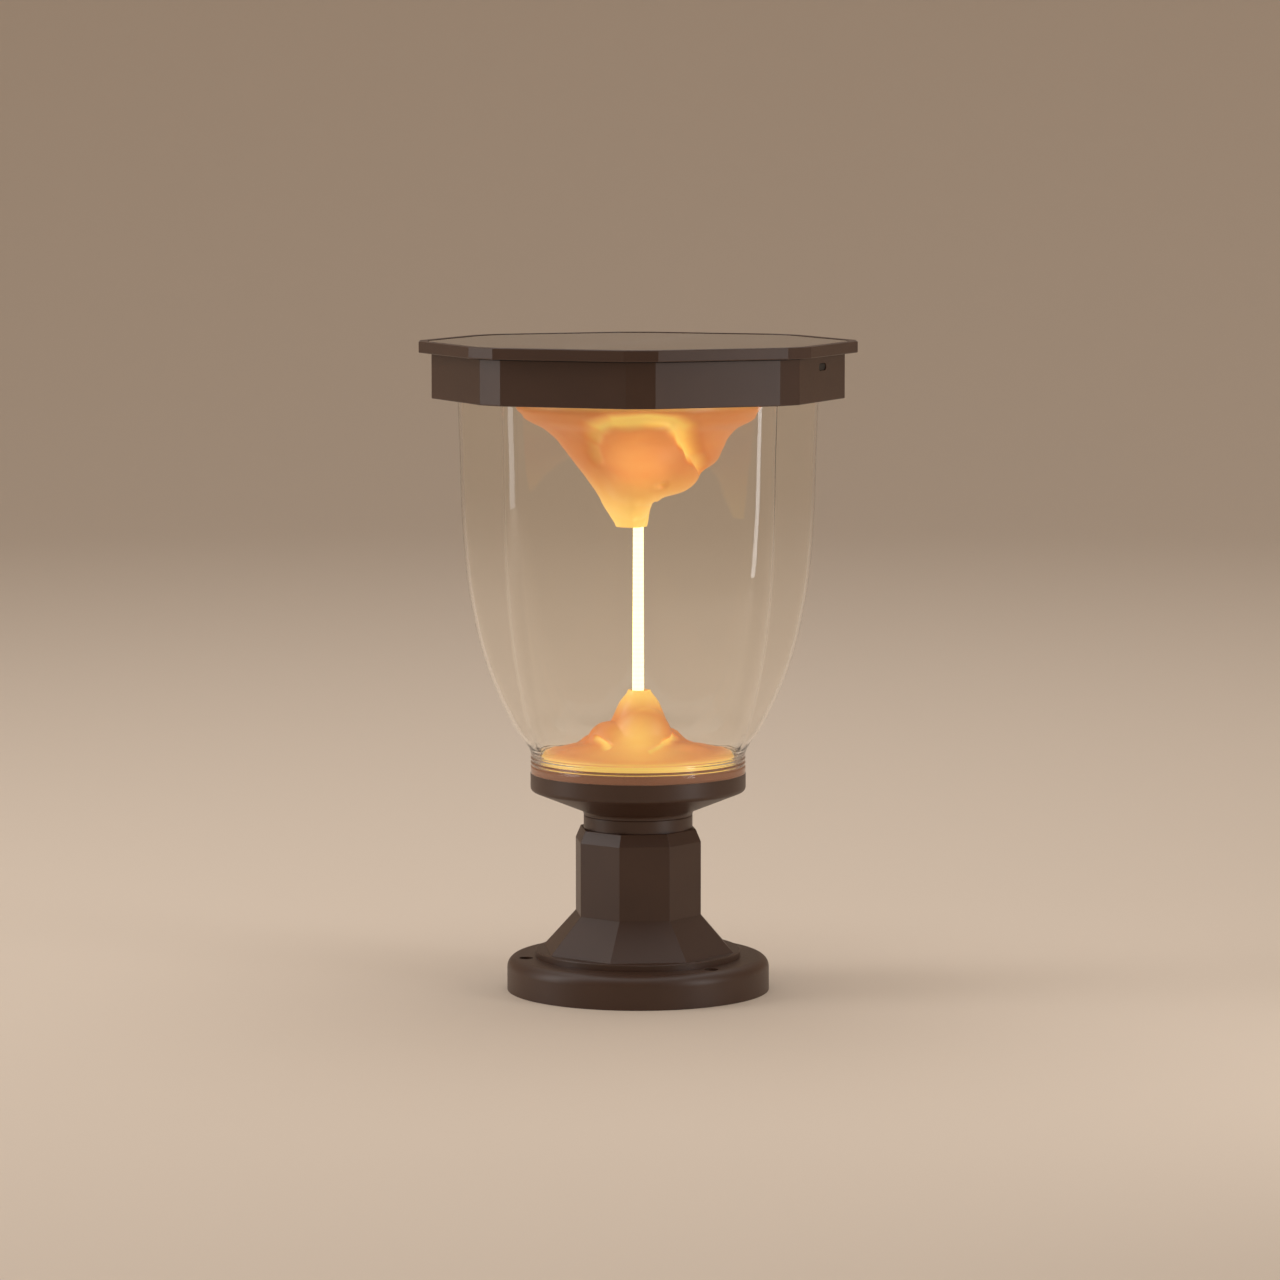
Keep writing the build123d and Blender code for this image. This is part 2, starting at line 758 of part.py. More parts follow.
def board_parts():
    place = Pos(0, -controller_offset, 0)
    coil = Pos(*coil_place) * disc(coil_radius, controller_top, coil_height)
    capacitor = Pos(*capacitor_place) * disc(capacitor_radius, controller_top, capacitor_height)
    chip = block(chip_length, chip_width, chip_height, (*chip_place, controller_top))
    connector_foot = (*connector_place, controller_top)
    connector = block(connector_length, connector_width, connector_height, connector_foot)
    return [place * piece for piece in (coil, capacitor, chip, connector)]


def board_screws():
    small = screw(board_screw_radius, board_screw_length, board_screw_head_radius, board_screw_head_height)
    return [spot * Pos(0, 0, controller_top) * small for spot in controller_spots()]


def panel_leads():
    bottom = controller_top + connector_height
    lead = disc(lead_radius, bottom, panel_bottom - bottom)
    middle_x = connector_place[0]
    middle_y = connector_place[1] - controller_offset
    return [Pos(middle_x + side * lead_spacing / 2, middle_y, 0) * lead for side in (-1, 1)]


def button_frame():
    return Rot(0, 0, -side_angle / 2) * Pos(head_side, 0, button_middle)


def button_slot(margin):
    return Plane.YZ * SlotOverall(button_length + 2 * margin, button_height + 2 * margin)


def power_button():
    cap = Pos(-button_recess, 0, 0) * extrude(button_slot(0), button_recess - head_wall)
    edge = Pos(-head_wall, 0, 0) * extrude(button_slot(button_edge), -button_edge_depth)
    stem_face = Plane.YZ * Circle(button_stem_radius)
    stem = Pos(-button_back, 0, 0) * extrude(stem_face, -button_stem_length)
    return button_frame() * (cap + edge + stem)


def tact_switch():
    plunger_face = Plane.YZ * Circle(switch_plunger_radius)
    plunger = Pos(-switch_front, 0, 0) * extrude(plunger_face, switch_plunger_length)
    body = Pos(-switch_front - switch_depth / 2, 0, 0) * Box(switch_depth, switch_size, switch_size)
    return button_frame() * (plunger + body)


def board_behind_button(margin):
    thickness = switch_board_thickness + 2 * margin
    board = Box(thickness, switch_board_length + 2 * margin, switch_board_height)
    return button_frame() * Pos(-switch_board_front - switch_board_thickness / 2, 0, 0) * board


def switch_board():
    return board_behind_button(0)


def switch_rails():
    length = rail_depth - head_wall
    rail = Box(length, rail_width + rail_lap, rail_top - rail_bottom, align=on_floor)
    middle = (switch_board_length + rail_width - rail_lap) / 2
    spots = [Pos(-head_wall - length / 2, side * middle, rail_bottom - button_middle) for side in (-1, 1)]
    return [button_frame() * spot * rail - board_behind_button(fit) for spot in spots]


pieces = {
    "base_casting": base_casting(),
    "column": column(),
    "tray": tray(),
    "tie_rod": tie_rod(),
    "tie_nuts": tie_nuts(),
    "tie_washer": tie_washer(),
    "bowl_foot_gasket": bowl_foot_gasket(),
    "clear_bowl": clear_bowl(),
    "clamp_plate": clamp_plate(),
    "mound": mound(),
    "mound_screws": mound_screws(),
    "lower_socket": lower_socket(),
    "upper_socket": upper_socket(),
    "filament_tube": filament_tube(),
    "filament_strip": filament_strip(),
    "filament_leads": filament_leads(),
    "drip": drip(),
    "drip_screws": drip_screws(),
    "led_board": led_board(),
    "led_chips": led_chips(),
    "lamp_deck": lamp_deck(),
    "deck_screws": deck_screws(),
    "bowl_rim_gasket": bowl_rim_gasket(),
    "head_housing": head_housing(),
    "lid_frame": lid_frame(),
    "lid_gasket": lid_gasket(),
    "lid_screws": lid_screws(),
    "panel_board": panel_board(),
    "panel_leads": panel_leads(),
    "solar_cells": solar_cells(),
    "solar_glass": solar_glass(),
    "battery_cells": battery_cells(),
    "battery_cradle": battery_cradle(),
    "cell_tabs": cell_tabs(),
    "controller_board": controller_board(),
    "board_parts": board_parts(),
    "board_screws": board_screws(),
    "power_button": power_button(),
    "tact_switch": tact_switch(),
    "switch_board": switch_board(),
}

os.makedirs("parts", exist_ok=True)
for name, piece in pieces.items():
    if isinstance(piece, list):
        piece = Compound(children=piece)
    export_step(piece, f"parts/{name}.step")
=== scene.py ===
import math

import bmesh
import bpy
from mathutils import Matrix, Vector, noise


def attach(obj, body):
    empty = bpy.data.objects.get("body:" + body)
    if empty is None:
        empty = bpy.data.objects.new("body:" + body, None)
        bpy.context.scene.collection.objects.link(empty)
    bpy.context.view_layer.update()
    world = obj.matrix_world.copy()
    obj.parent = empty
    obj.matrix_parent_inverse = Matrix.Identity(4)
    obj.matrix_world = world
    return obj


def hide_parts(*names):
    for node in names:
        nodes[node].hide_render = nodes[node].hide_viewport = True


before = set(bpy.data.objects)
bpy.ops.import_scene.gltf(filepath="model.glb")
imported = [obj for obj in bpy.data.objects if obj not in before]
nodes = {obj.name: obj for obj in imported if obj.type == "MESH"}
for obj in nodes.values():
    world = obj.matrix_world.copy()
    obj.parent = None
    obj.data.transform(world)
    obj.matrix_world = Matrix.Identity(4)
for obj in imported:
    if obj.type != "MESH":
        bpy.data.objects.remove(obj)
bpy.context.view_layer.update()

mm = 0.001
mergeMm = 0.001  # points nearer than this are one
sharpTurn = math.radians(55)  # edges that turn more than this stay crisp
allRound = 999  # half width in degrees of a glow that takes in every side


# shared tools

def linearColor(code):
    channels = [int(code[i:i + 2], 16) / 255 for i in (1, 3, 5)]
    return [c / 12.92 if c <= 0.04045 else ((c + 0.055) / 1.055) ** 2.4 for c in channels] + [1.0]


def addNode(tree, kind, settings=None, links=None):
    node = tree.nodes.new(kind)
    for name, value in (settings or {}).items():
        if isinstance(name, int) or name in node.inputs:
            node.inputs[name].default_value = value
        else:
            setattr(node, name, value)
    for name, source in (links or {}).items():
        tree.links.new(source, node.inputs[name])
    return node


def newMaterial(name, settings):
    material = bpy.data.materials.new(name)
    material.use_nodes = True
    shader = material.node_tree.nodes["Principled BSDF"]
    for socket, value in settings.items():
        shader.inputs[socket].default_value = value
    return material, material.node_tree, shader


def objectPlace(tree):
    return addNode(tree, "ShaderNodeTexCoord").outputs["Object"]


def noiseField(tree, place, sizeMm, detail, distortion=0.0):
    settings = {"Scale": 1 / (sizeMm * mm), "Detail": detail, "Distortion": distortion}
    return addNode(tree, "ShaderNodeTexNoise", settings, {"Vector": place}).outputs["Fac"]


def mixColor(tree, share, one, two):
    # one where the share is 0, two where it is 1; each is a linear colour or a socket
    mix = addNode(tree, "ShaderNodeMix", {"data_type": "RGBA"}, {0: share})
    for slot, source in ((6, one), (7, two)):
        if isinstance(source, list):
            mix.inputs[slot].default_value = source
        else:
            tree.links.new(source, mix.inputs[slot])
    return mix.outputs[2]


def bumpShader(tree, shader, height, strength, distanceMm):
    settings = {"Strength": strength, "Distance": distanceMm * mm}
    bump = addNode(tree, "ShaderNodeBump", settings, {"Height": height})
    tree.links.new(bump.outputs["Normal"], shader.inputs["Normal"])


def dress(material, *names):
    for name in names:
        mesh = nodes[name].data
        mesh.materials.clear()
        mesh.materials.append(material)


def makePiece(bm, name, material, replaced=None):
    bmesh.ops.recalc_face_normals(bm, faces=bm.faces)
    for face in bm.faces:
        face.smooth = True
    mesh = bpy.data.meshes.new(name)
    bm.to_mesh(mesh)
    bm.free()
    mesh.set_sharp_from_angle(angle=sharpTurn)
    mesh.materials.append(material)
    piece = bpy.data.objects.new(name, mesh)
    bpy.context.scene.collection.objects.link(piece)
    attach(piece, "lamp")
    if replaced:
        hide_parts(replaced)


def addProfile(bm, points, closed=True):
    # points are radius and height, mm; nothing is drawn along the axis
    verts = [bm.verts.new((radius * mm, 0, height * mm)) for radius, height in points]
    pairs = zip(verts, verts[1:] + verts[:1] if closed else verts[1:])
    return [bm.edges.new(pair) for pair in pairs if any(vert.co.x > 0 for vert in pair)]


def spinRound(bm, steps):
    bmesh.ops.spin(bm, geom=bm.verts[:] + bm.edges[:], cent=(0, 0, 0), axis=(0, 0, 1),
                   angle=math.tau, steps=steps, use_merge=True)
    bmesh.ops.remove_doubles(bm, verts=bm.verts, dist=mergeMm * mm)  # closes the poles


def softBump(distance, flat):
    # 1 in the middle, 0 from a distance of 1 on; the flat share of it stays at 1
    t = min(max((1 - abs(distance)) / (1 - flat), 0), 1)
    return t * t * (3 - 2 * t)


def softMax(one, two, blend):
    overlap = max(blend - abs(one - two), 0) / blend
    return max(one, two) + overlap * overlap * blend / 4


def smoothRow(rows, key):
    # catmull-rom through rows of (key, value, value), which run downwards in key
    key = max(min(key, rows[0][0]), rows[-1][0])
    i = next(i for i in range(len(rows) - 1) if key >= rows[i + 1][0])
    before, here, after, last = rows[max(i - 1, 0)], rows[i], rows[i + 1], rows[min(i + 2, len(rows) - 1)]
    t = (here[0] - key) / (here[0] - after[0])
    return [
        0.5 * (2 * b + (c - a) * t + (2 * a - 5 * b + 4 * c - d) * t ** 2 + (3 * b - a - 3 * c + d) * t ** 3)
        for a, b, c, d in zip(before[1:], here[1:], after[1:], last[1:])
    ]


def lumpReach(lump, angle, height):
    # how far from the axis an ellipsoid reaches in this direction; the angle runs from the front to the right
    (x, y, z), (rx, ry, rz) = lump
    ux, uy = math.sin(angle) / rx, -math.cos(angle) / ry
    px, py = x / rx, y / ry
    a, b = ux * ux + uy * uy, ux * px + uy * py
    inside = b * b - a * (px * px + py * py + ((height - z) / rz) ** 2 - 1)
    return (b + math.sqrt(inside)) / a if inside > 0 else 0.0


skin = {
    "noiseTurns": 2,  # how fast the noise changes round the skin, and up it
    "noiseMm": 14,
    "strayFine": 2.2,  # finer noise that strays along a fold's edge and its depth
    "strayEdge": 0.25,
    "strayDepth": 0.3,
    "fadeMm": 1,  # folds and waves fade out over this, at the lip and the foot
    "standInMm": 0.01,  # how near to its stand-in radius a point of the skin lies
}


def foldDepth(fold, angle, height, reach, stray, flat):
    # how deep a fold is here: it follows a line from one (angle, height) to another
    (fromTurn, fromHeight), (toTurn, toHeight), width, depth = fold
    degree = math.radians(1) * reach
    run = Vector(((toTurn - fromTurn) * degree, toHeight - fromHeight))
    here = Vector((((math.degrees(angle) - fromTurn + 180) % 360 - 180) * degree, height - fromHeight))
    along = min(max(here.dot(run) / run.dot(run), 0), 1)
    return depth * softBump((here - along * run).length / width + skin["strayEdge"] * stray, flat)


def lumpySkin(bm, shape):
    # a turned skin, then lumps that swell it and folds that press it in
    # two traces on its points hold painted glow: where it turns yellow and how brightly it is lit
    top, foot = shape["outline"][0][0], shape["outline"][-1][0]
    yellow, lit = bm.verts.layers.float.new("yellow"), bm.verts.layers.float.new("lit")
    edges = addProfile(bm, [(1, top), (1, foot)] + shape["inside"])
    bmesh.ops.subdivide_edges(bm, edges=edges[:1], cuts=int((top - foot) / shape["rowMm"]))
    spinRound(bm, shape["steps"])
    near = skin["standInMm"]
    outside = [vert for vert in bm.verts if abs(vert.co.xy.length - mm) < near * mm]
    soft = [vert for vert in outside if foot + near < vert.co.z / mm < shape["lip"]]
    for vert in outside:
        height = vert.co.z / mm
        angle = math.atan2(vert.co.x, -vert.co.y)
        radius, offset = smoothRow(shape["outline"], height)
        reach = offset * math.sin(angle) + math.sqrt(radius ** 2 - (offset * math.cos(angle)) ** 2)
        for lump in shape["lumps"]:
            reach = softMax(reach, lumpReach(lump, angle, height), shape["blendMm"])
        turns = skin["noiseTurns"]
        spot = Vector((math.sin(angle) * turns, math.cos(angle) * turns, height / skin["noiseMm"]))
        stray = noise.noise(spot * skin["strayFine"])
        below = min(max(shape["lip"] - height, 0), skin["fadeMm"])
        folds = [foldDepth(fold, angle, height, reach, stray, shape["foldFlat"]) for fold in shape["folds"]]
        depth = below * (1 + skin["strayDepth"] * stray) * max(folds)
        wave = shape["waveMm"] * noise.noise(spot) * min(below, height - foot, skin["fadeMm"])
        vert.co.x = (reach - depth + wave) * math.sin(angle) * mm
        vert.co.y = -(reach - depth + wave) * math.cos(angle) * mm
        # painted glow: the deeper the fold, the yellower and brighter
        folded = min(depth / shape["glowMm"], 1)
        glows = [(folded, folded * shape["foldLit"])]
        for turn, middle, width, rise, tint, amount in shape["glows"]:
            share = softBump((height - middle) / rise, 0)
            share *= softBump((math.degrees(angle) - turn) / width, 0)
            glows.append((tint * share, amount * share))
        vert[yellow] = max(tint for tint, amount in glows)
        vert[lit] = shape["lit"] + max(amount for tint, amount in glows)
    for sweep in range(shape["sweeps"]):
        bmesh.ops.smooth_vert(bm, verts=soft, factor=shape["sweepShare"],
                              use_axis_x=True, use_axis_y=True, use_axis_z=True)


# materials

powderCoat = {"color": "#4b3427", "dark": "#402b20", "ior": 1.5, "rough": 0.42, "roughSpread": 0.06,
              "peelMm": 0.8, "bump": 0.25, "bumpMm": 0.03, "mottleMm": 22}


def makePowderCoat():
    # Cast aluminium under a baked satin powder coat: coffee bronze, with a fine orange peel
    # that softens every highlight. The peel is drawn about three times as coarse as the real
    # one, so that it shows.
    material, tree, shader = newMaterial("satinPowderCoat", {"IOR": powderCoat["ior"]})
    place = objectPlace(tree)
    mottle = noiseField(tree, place, powderCoat["mottleMm"], detail=3)
    color = mixColor(tree, mottle, linearColor(powderCoat["color"]), linearColor(powderCoat["dark"]))
    peel = noiseField(tree, place, powderCoat["peelMm"], detail=2)
    spread = {"To Min": powderCoat["rough"] - powderCoat["roughSpread"],
              "To Max": powderCoat["rough"] + powderCoat["roughSpread"]}
    rough = addNode(tree, "ShaderNodeMapRange", spread, {"Value": peel})
    tree.links.new(color, shader.inputs["Base Color"])
    tree.links.new(rough.outputs["Result"], shader.inputs["Roughness"])
    bumpShader(tree, shader, peel, powderCoat["bump"], powderCoat["bumpMm"])
    return material


def letLampsThrough(tree, shader):
    # clear plastic and glass cast almost no shadow
    ray = addNode(tree, "ShaderNodeLightPath")
    clear = addNode(tree, "ShaderNodeBsdfTransparent")
    mix = addNode(tree, "ShaderNodeMixShader", None, {
        0: ray.outputs["Is Shadow Ray"], 1: shader.outputs[0], 2: clear.outputs[0]})
    tree.links.new(mix.outputs[0], tree.nodes["Material Output"].inputs["Surface"])


clearAcrylic = {"color": "#fffdf8", "ior": 1.49, "rough": 0.0}


def makeClearAcrylic():
    # Moulded acrylic, polished: bends the view at its corners and catches the lamps as thin bright lines.
    material, tree, shader = newMaterial("mouldedAcrylic", {
        "Base Color": linearColor(clearAcrylic["color"]), "IOR": clearAcrylic["ior"],
        "Roughness": clearAcrylic["rough"], "Transmission Weight": 1.0})
    letLampsThrough(tree, shader)
    return material


amberResin = {"color": "#f5a057", "deep": "#e88c48", "yellow": "#f5cf6e", "rough": 0.38, "ior": 1.5,
              "under": 0.2, "underM": (0.008, 0.004, 0.002), "veinMm": 14, "veinTwist": 1.5}


def makeAmberResin():
    # Cast translucent resin with the filament's light painted in as emission: soft orange, and a painted
    # yellow glow where the wall is thin and deep in the folds.
    material, tree, shader = newMaterial("castAmberResinPaintedGlow", {
        "Roughness": amberResin["rough"], "IOR": amberResin["ior"], "Subsurface Weight": amberResin["under"],
        "Subsurface Radius": amberResin["underM"], "Subsurface Scale": 1.0})
    vein = noiseField(tree, objectPlace(tree), amberResin["veinMm"], detail=2, distortion=amberResin["veinTwist"])
    body = mixColor(tree, vein, linearColor(amberResin["deep"]), linearColor(amberResin["color"]))
    # painted glow: the yellow tint and the emission strength come from the traces on the skin
    yellow = addNode(tree, "ShaderNodeAttribute", {"attribute_name": "yellow"})
    color = mixColor(tree, yellow.outputs["Fac"], body, linearColor(amberResin["yellow"]))
    lit = addNode(tree, "ShaderNodeAttribute", {"attribute_name": "lit"})
    tree.links.new(color, shader.inputs["Base Color"])
    tree.links.new(color, shader.inputs["Emission Color"])
    tree.links.new(lit.outputs["Fac"], shader.inputs["Emission Strength"])
    return material


plain = {"shade": 0.8, "bump": 0.3, "bumpMm": 0.02}


def makePlain(name, color, rough, grainMm, extra=None):
    # a finish with a fine grain in its colour and its surface
    material, tree, shader = newMaterial(name, {"Roughness": rough, **(extra or {})})
    grain = noiseField(tree, objectPlace(tree), grainMm, detail=3)
    shade = [plain["shade"] * channel for channel in linearColor(color)[:3]] + [1.0]
    tone = mixColor(tree, grain, shade, linearColor(color))
    tree.links.new(tone, shader.inputs["Base Color"])
    bumpShader(tree, shader, grain, plain["bump"], plain["bumpMm"])
    return material


phosphor = {"rough": 0.4, "dim": 0.85, "wavePeriod": math.tau / 20}  # the wave pattern's period at scale 1


def makeLit(name, color, strength, beadMm):
    # light-emitting dies in a row under phosphor, so the light beads a little along the upright
    material, tree, shader = newMaterial(name, {
        "Base Color": linearColor(color), "Roughness": phosphor["rough"], "Emission Color": linearColor(color)})
    beads = addNode(tree, "ShaderNodeTexWave", {
        "bands_direction": "Z", "Scale": phosphor["wavePeriod"] / (beadMm * mm)}, {"Vector": objectPlace(tree)})
    power = addNode(tree, "ShaderNodeMapRange", {
        "To Min": phosphor["dim"] * strength, "To Max": strength}, {"Value": beads.outputs["Fac"]})
    tree.links.new(power.outputs["Result"], shader.inputs["Emission Strength"])
    return material


solarCell = {"color": "#141622", "bright": "#1d2238", "line": "#4a4f58", "ribbon": "#d6d9da",
             "rough": 0.28, "ior": 1.9, "turn": -22.5, "busMm": 14.45, "busWidthMm": 0.8, "fingerMm": 2.4,
             "fingerWidthMm": 0.3, "ribbonMm": 2.6, "crystalMm": 7}
lonePitchMm = 999  # wider than the lid, so that one line is drawn


def stripes(tree, coordinate, pitchMm, widthMm, shiftMm=0.0):
    # 1 on lines of this width, one to each pitch, and 0 between them
    shifted = addNode(tree, "ShaderNodeMath", {"operation": "ADD", 1: shiftMm * mm}, {0: coordinate})
    folded = addNode(tree, "ShaderNodeMath", {"operation": "PINGPONG", 1: pitchMm * mm / 2},
                     {0: shifted.outputs[0]})
    line = addNode(tree, "ShaderNodeMath", {"operation": "LESS_THAN", 1: widthMm * mm / 2},
                   {0: folded.outputs[0]})
    return line.outputs[0]


def makeSolarCell():
    # Silicon wafers with a dark anti-reflex coat and printed lines: near black, faintly blue,
    # with a tinned ribbon down the middle. The fingers across are drawn three times as thick
    # as the real ones, so that they show.
    material, tree, shader = newMaterial("printedSilicon", {"Roughness": solarCell["rough"], "IOR": solarCell["ior"]})
    place = objectPlace(tree)
    turned = addNode(tree, "ShaderNodeMapping", {"Rotation": (0, 0, -math.radians(solarCell["turn"]))},
                     {"Vector": place})
    axes = addNode(tree, "ShaderNodeSeparateXYZ", None, {"Vector": turned.outputs[0]})
    crystal = addNode(tree, "ShaderNodeTexVoronoi", {"Scale": 1 / (solarCell["crystalMm"] * mm)}, {"Vector": place})
    wafer = mixColor(tree, crystal.outputs["Color"], linearColor(solarCell["color"]), linearColor(solarCell["bright"]))
    bus = stripes(tree, axes.outputs["X"], solarCell["busMm"], solarCell["busWidthMm"], solarCell["busMm"] / 2)
    finger = stripes(tree, axes.outputs["Y"], solarCell["fingerMm"], solarCell["fingerWidthMm"])
    printed = addNode(tree, "ShaderNodeMath", {"operation": "MAXIMUM"}, {0: bus, 1: finger})
    lined = mixColor(tree, printed.outputs[0], wafer, linearColor(solarCell["line"]))
    ribbon = stripes(tree, axes.outputs["X"], lonePitchMm, solarCell["ribbonMm"])
    color = mixColor(tree, ribbon, lined, linearColor(solarCell["ribbon"]))
    tree.links.new(color, shader.inputs["Base Color"])
    return material


paneGlass = {"color": "#f6fbff", "ior": 1.5, "rough": 0.02, "waveMm": 40, "bump": 0.1, "bumpMm": 0.2}


def makePane():
    # Float glass, fire-polished: a flat clear pane whose slow waves only bend the reflections a little.
    material, tree, shader = newMaterial("floatGlass", {
        "Base Color": linearColor(paneGlass["color"]), "Roughness": paneGlass["rough"],
        "IOR": paneGlass["ior"], "Transmission Weight": 1.0})
    wave = noiseField(tree, objectPlace(tree), paneGlass["waveMm"], detail=1)
    bumpShader(tree, shader, wave, paneGlass["bump"], paneGlass["bumpMm"])
    letLampsThrough(tree, shader)
    return material


metal = {"Metallic": 1.0}
dress(makePowderCoat(), "base_casting", "column", "tray", "head_housing", "lid_frame")
# milky silicone sleeve, lit: a white core that looks warm at its edge
dress(makeLit("litSilicone", "#fff0a0", strength=2.6, beadMm=2.0), "filament_tube")
# phosphor over the dies: the brightest thing in the lamp, warm white
dress(makeLit("litPhosphor", "#fff0b0", strength=4.0, beadMm=2.0), "filament_strip", "led_chips")
dress(makePane(), "solar_glass")
# from here on: name, colour, roughness and grain in mm
# zinc-plated steel, tumbled: bright and cool, with faint handling marks
dress(makePlain("zincPlatedSteel", "#c9c9c6", 0.32, 0.6, metal), "tie_rod", "tie_nuts", "tie_washer", "mound_screws",
      "lower_socket", "upper_socket", "drip_screws", "deck_screws", "lid_screws", "cell_tabs", "board_screws")
# yellow-passivated zinc on a stamped plate: a warm, slightly cloudy shine
dress(makePlain("yellowZinc", "#c9a86a", 0.3, 0.6, metal), "clamp_plate")
# moulded silicone rubber: matte, with a dusty bloom
dress(makePlain("siliconeRubber", "#1b1a19", 0.7, 0.5), "bowl_rim_gasket", "lid_gasket")
# the same rubber in brown, which melts into the coat round it; the brown is partly a painted reflection of the bronze
# tray, seen through the bowl's foot
dress(makePlain("brownSiliconeAndReflection", "#6e4a38", 0.6, 0.5), "bowl_foot_gasket")
# glass-filled nylon, moulded in a spark-eroded tool: dark, with a fine dry grain
dress(makePlain("mouldedNylon", "#1d1b1a", 0.5, 0.4), "lamp_deck", "battery_cradle", "power_button",
      "tact_switch", "board_parts")
# glass-fibre board under solder mask: smooth, with the weave as a faint mottle
dress(makePlain("solderMaskGreen", "#1d5a34", 0.4, 2.0), "controller_board", "switch_board")
dress(makePlain("solderMaskWhite", "#e8e6e0", 0.45, 2.0), "led_board")
# extruded PVC on the wires, shrunk PVC film on the cells, pressed laminate behind the panel
dress(makePlain("wireJacket", "#8a1414", 0.5, 1.0), "filament_leads", "panel_leads")
dress(makePlain("shrinkWrap", "#2f5a94", 0.35, 6.0), "battery_cells")
dress(makePlain("panelLaminate", "#26262b", 0.5, 1.5), "panel_board")
print("materials done")


# the drip that hangs under the head

drip = {
    "outline": [  # height, radius and sideways offset, mm
        (273.5, 58.0, 0.0), (270.0, 58.0, 0.0), (268.6, 57.6, 0.1), (265.8, 54.4, 0.4), (263.2, 51.2, 0.9),
        (260.0, 44.5, 0.9), (255.0, 39.1, 1.6), (250.0, 35.9, 2.5), (243.0, 31.2, 2.9), (236.4, 22.0, -1.2),
        (228.5, 14.0, -3.8), (225.0, 11.6, -4.5), (221.0, 9.3, -4.4), (214.5, 6.7, -3.1),
    ],
    "inside": [  # radius and height, mm
        (3.45, 214.5), (3.45, 231.0), (11.0, 235.0), (20.0, 245.0), (28.0, 258.0), (36.5, 268.0), (38.0, 273.5),
    ],
    "lip": 270.0,  # the rim above this stays plain
    "lumps": [  # middle and radii, mm: the front lobe as it runs down to the tip, the low right lobe, two behind
        ((3, -19, 248), (17, 19, 14)),
        ((1, -14, 238), (14.5, 16, 13)),
        ((-2, -9, 230), (9.5, 12, 12)),
        ((-3, -4, 222), (7, 8.5, 9)),
        ((10, -12, 241), (18, 18, 12)),
        ((-9, 16, 246), (16, 14, 12)),
        ((20, 18, 252), (16, 16, 9)),
    ],
    "folds": [  # from and to, each as angle from the front and height; half width and depth, mm
        ((-30, 257.5), (-24, 262.0), 5.4, 4.5),
        ((-24, 262.0), (-13, 265.2), 5.6, 6.5),
        ((-13, 265.2), (4, 266.3), 5.8, 8.5),
        ((4, 266.3), (17, 265.0), 5.8, 9),
        ((17, 265.0), (26, 261.2), 5.8, 9),
        ((26, 261.2), (33, 255.8), 5.8, 8.5),
        ((33, 255.8), (43, 249.5), 5.4, 7.5),
        ((43, 249.5), (62, 241.5), 4.0, 5.5),
        ((-34, 252.5), (-36, 248.0), 5.2, 2.6),
        ((19, 235.2), (22, 235.2), 2.2, 3.2),
        ((135, 257.0), (165, 257.0), 9.0, 2.6),
        ((-155, 256.0), (-125, 256.0), 9.0, 2.6),
    ],
    # painted glow of the filament's light: emission over the whole skin, more in the folds and the glows
    "lit": 0.2,
    "foldLit": 0.22,
    "glows": [  # angle, height, half width in degrees, half height mm, how yellow, how much brighter
        (0, 214, allRound, 34, 0.95, 0.42),
        (0, 272, 120, 3, 0.5, 0.2),
        (-2, 244, 40, 26, 0.15, 0.48),
    ],
    "foldFlat": 0.0,
    "glowMm": 7,
    "blendMm": 6,
    "rowMm": 0.6,
    "steps": 208,
    "waveMm": 0.5,
    "sweeps": 4,
    "sweepShare": 0.5,
}


# the mound on the bowl's floor; its lists read as the drip's do

mound = {
    "outline": [
        (139.3, 5.2, 0.7), (134.2, 8.9, 0.6), (129.5, 11.2, 0.5), (124.9, 13.4, 0.3), (120.3, 15.8, 0.2),
        (117.0, 20.5, 0.0), (114.0, 28.5, 0.0), (112.0, 37.5, 0.0), (110.6, 42.0, 0.0), (109.0, 44.4, 0.0),
        (105.5, 45.2, 0.0),
    ],
    "inside": [(10.0, 105.5), (10.0, 116.0), (0.0, 116.0), (0.0, 128.3), (3.45, 128.3), (3.45, 139.3)],
    "lip": 139.3,
    "lumps": [
        ((-12, -4, 115), (11.5, 10, 10.5)),
        ((3, -7, 117), (11, 9.5, 15)),
        ((21, -12, 111), (12, 11, 5.5)),
        ((-24, -14, 110), (13, 11, 5.5)),
        ((8, 14, 113), (13, 12, 9)),
        ((-16, 15, 111), (12, 11, 7)),
    ],
    "folds": [
        ((-62, 118.5), (-34, 115.0), 1.8, 2.2),
        ((72, 119.0), (34, 116.8), 1.6, 2.4),
        ((34, 116.8), (10, 114.0), 1.5, 2.0),
    ],
    # painted glow of the filament's light, as on the drip
    "lit": 0.12,
    "foldLit": 0.3,
    "glows": [(0, 140, allRound, 16, 0.9, 0.4), (0, 107, allRound, 6, 0.95, 0.3), (0, 120, 75, 18, 0.75, 0.32)],
    "foldFlat": 0.1,
    "glowMm": 2.2,
    "blendMm": 6,
    "rowMm": 0.3,
    "steps": 176,
    "waveMm": 0.4,
    "sweeps": 3,
    "sweepShare": 0.5,
}


def makeAmber(shape, name, material, replaced):
    bm = bmesh.new()
    lumpySkin(bm, shape)
    makePiece(bm, name, material, replaced)


# the clear bowl: eight flats with rounded corners that melt into a round, grooved neck

